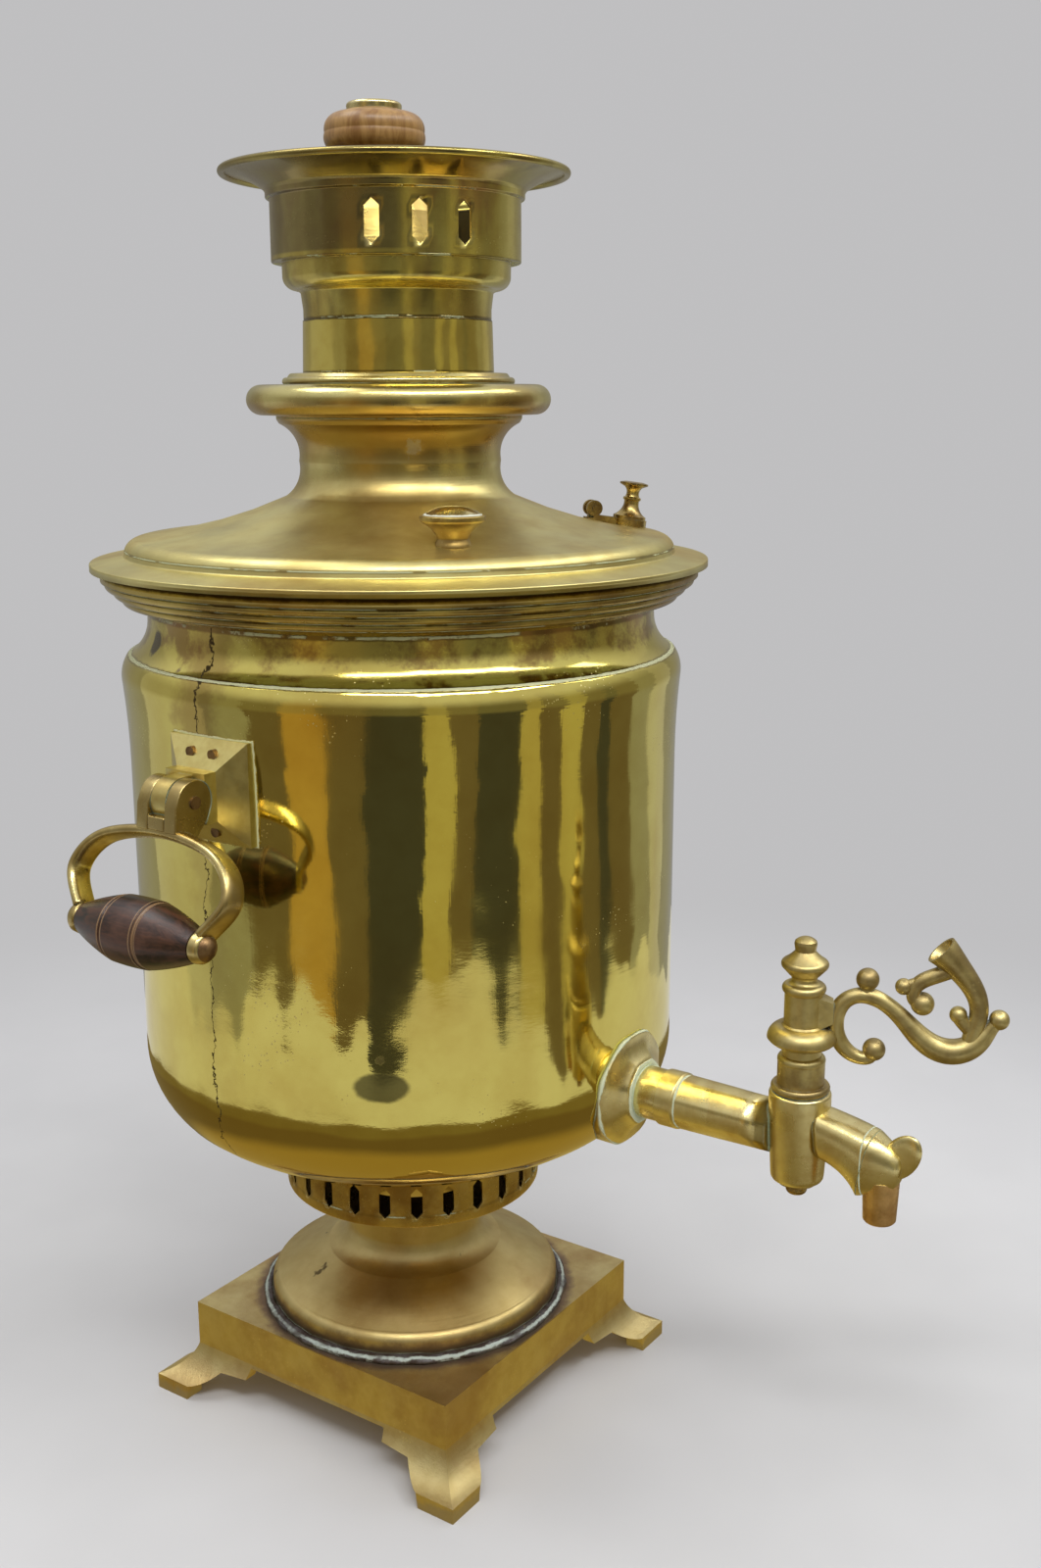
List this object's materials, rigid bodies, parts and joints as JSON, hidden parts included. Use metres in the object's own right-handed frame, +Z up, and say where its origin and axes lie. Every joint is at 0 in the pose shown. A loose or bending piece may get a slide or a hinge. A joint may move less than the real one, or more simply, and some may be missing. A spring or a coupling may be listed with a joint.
{
  "type": "charcoal samovar",
  "caption": "Charcoal samovar: water urn with a central fire tube, plug tap with scroll key, lift-off lid, pierced crown for a teapot, and swinging side handles with wooden grips.",
  "frame": {"origin": "on the body's vertical axis at floor level, under the centre of the square plinth", "axes": "+Z up, the tap points along -Y, the carrying handles stand on -X and +X"},
  "size_m": [0.3184, 0.3661, 0.5271],
  "materials": {
    "plinth_brass": "dull cast brass, brown in the corners",
    "spun_brass": "spun brass, hand polished, slightly dented",
    "solder": "uneven solder bead, dark",
    "ring_brass": "turned reeds, polished, dark in the grooves",
    "iron": "scaled and sooty",
    "chimney_brass": "heat-stained brass",
    "lid_brass": "spun brass, polished, with brown patches",
    "polished_brass": "bright worn brass",
    "turned_brass": "turned brass, tarnished",
    "crown_brass": "spun brass, pierced, tarnished",
    "dark_wood": "turned hardwood, dark stain, worn",
    "cast_brass": "cast and filed brass",
    "rivet_metal": "dark brass",
    "copper_brown": "brown copper-rich brass",
    "tap_fittings": "dull brass",
    "key_bronze": "cast brass, brown patina"
  },
  "bodies": {
    "vessel": {"plinth": "plinth_brass", "pedestal": "spun_brass", "solder_ring": "solder", "air_collar": "spun_brass", "body_shell": "spun_brass", "top_ring": "ring_brass", "fire_tube": "iron", "chimney_sleeve": "chimney_brass", "grate": "iron", "handle_plate_left": "cast_brass", "handle_plate_right": "cast_brass", "handle_rivets_left": "rivet_metal", "handle_rivets_right": "rivet_metal", "hinge_pin_left": "rivet_metal", "hinge_pin_right": "rivet_metal", "tap_flange": "cast_brass", "tap_body": "cast_brass", "tap_nose": "cast_brass", "tap_nozzle": "copper_brown", "tap_back_nut": "tap_fittings", "tap_strainer": "tap_fittings"},
    "lid": {"lid": "lid_brass", "lid_bolster": "lid_brass", "lid_knob_front": "turned_brass", "lid_knob_rear": "turned_brass", "lid_knob_disc_front": "polished_brass", "lid_knob_disc_rear": "polished_brass", "lid_knob_nuts": "turned_brass", "vent_seat": "lid_brass", "vent_pin": "turned_brass"},
    "vent": {"vent_flap": "turned_brass", "vent_cap": "turned_brass"},
    "crown": {"crown": "crown_brass", "crown_rim_wire": "crown_brass", "crown_floor": "crown_brass"},
    "cap": {"cap_hat": "crown_brass", "cap_knob": "dark_wood", "cap_button": "polished_brass", "cap_stud": "crown_brass"},
    "handle_left": {"handle_bow_left": "cast_brass", "handle_grip_left": "dark_wood", "grip_rod_left": "rivet_metal"},
    "handle_right": {"handle_bow_right": "cast_brass", "handle_grip_right": "dark_wood", "grip_rod_right": "rivet_metal"},
    "key": {"tap_plug": "key_bronze", "tap_key": "key_bronze", "plug_washer": "tap_fittings", "plug_nut": "tap_fittings"}
  },
  "joints": [
    {"name": "lid_lift", "type": "slide", "parent": "vessel", "child": "lid", "axis": [0, 0, 1], "range_m": [0, 0.15]},
    {"name": "vent_hinge", "type": "hinge", "parent": "lid", "child": "vent", "pos_m": [0.05834, -0.05253, 0.37558], "axis": [-0.6691, -0.7431, 0], "range_deg": [0, 110]},
    {"name": "crown_lift", "type": "slide", "parent": "lid", "child": "crown", "axis": [0, 0, 1], "range_m": [0, 0.06]},
    {"name": "cap_lift", "type": "slide", "parent": "crown", "child": "cap", "axis": [0, 0, 1], "range_m": [0, 0.06]},
    {"name": "handle_left_swing", "type": "hinge", "parent": "vessel", "child": "handle_left", "pos_m": [-0.12788, 0, 0.2844], "axis": [0, 1, 0], "range_deg": [0, 115]},
    {"name": "handle_right_swing", "type": "hinge", "parent": "vessel", "child": "handle_right", "pos_m": [0.12788, 0, 0.2844], "axis": [0, -1, 0], "range_deg": [0, 115]},
    {"name": "key_turn", "type": "hinge", "parent": "vessel", "child": "key", "pos_m": [0, -0.18, 0.158], "axis": [0, 0, 1], "range_deg": [-115, 65]}
  ]
}
